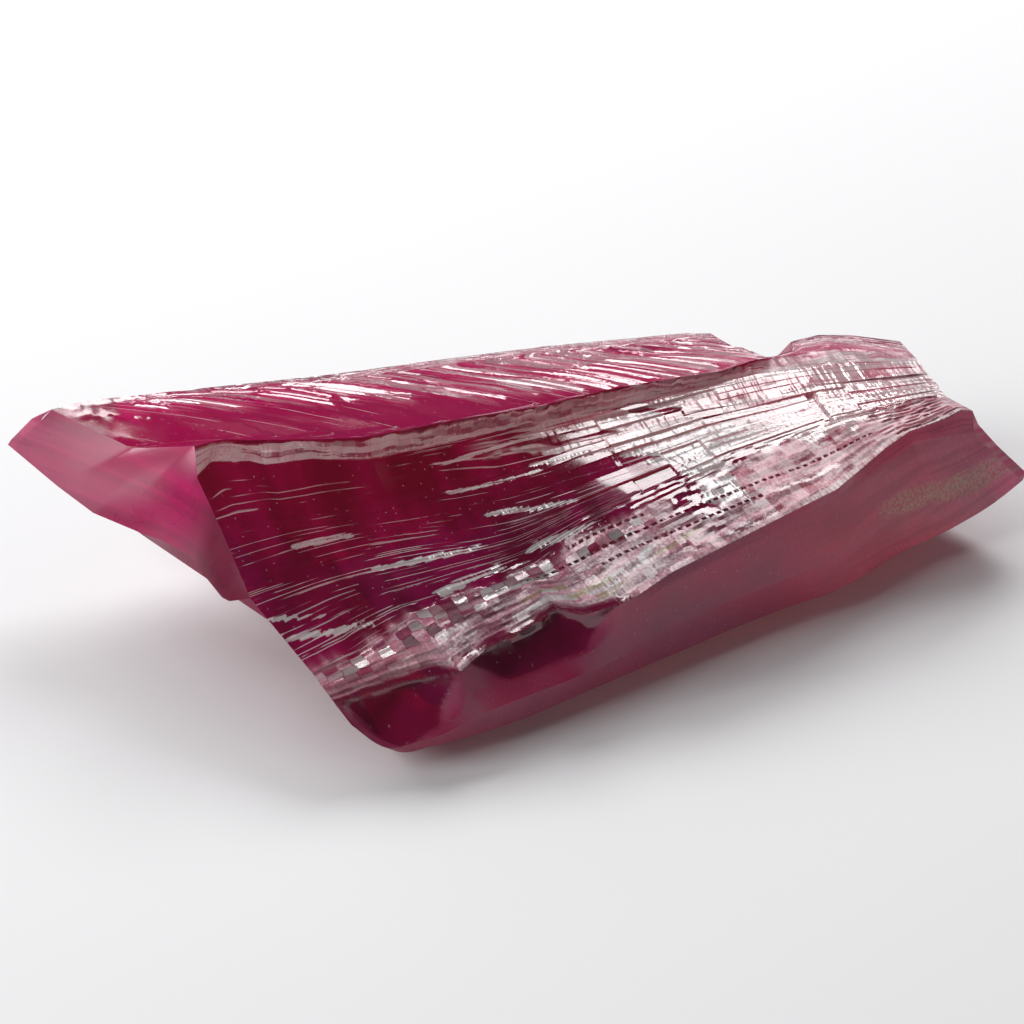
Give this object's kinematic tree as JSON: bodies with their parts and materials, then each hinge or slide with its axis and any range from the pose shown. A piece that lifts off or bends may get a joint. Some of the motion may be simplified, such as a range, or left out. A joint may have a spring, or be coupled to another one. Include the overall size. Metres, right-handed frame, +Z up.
{
  "type": "raw ruby crystal",
  "caption": "Broken, lengthwise-split piece of clear red crystal with a curved skin underneath and a stepped, ridged split face on top.",
  "frame": {"origin": "centre of the bounding box at its base, in the plane of the rest facet", "axes": "+X along the crystal from the smooth near end to the far break, +Y from the chipped front rim to the back rim, +Z up from the rest facet"},
  "size_m": [0.0402, 0.0224, 0.0102],
  "materials": {
    "ruby": "satin"
  },
  "bodies": {
    "root": {"ruby_crystal": "ruby"}
  },
  "joints": []
}
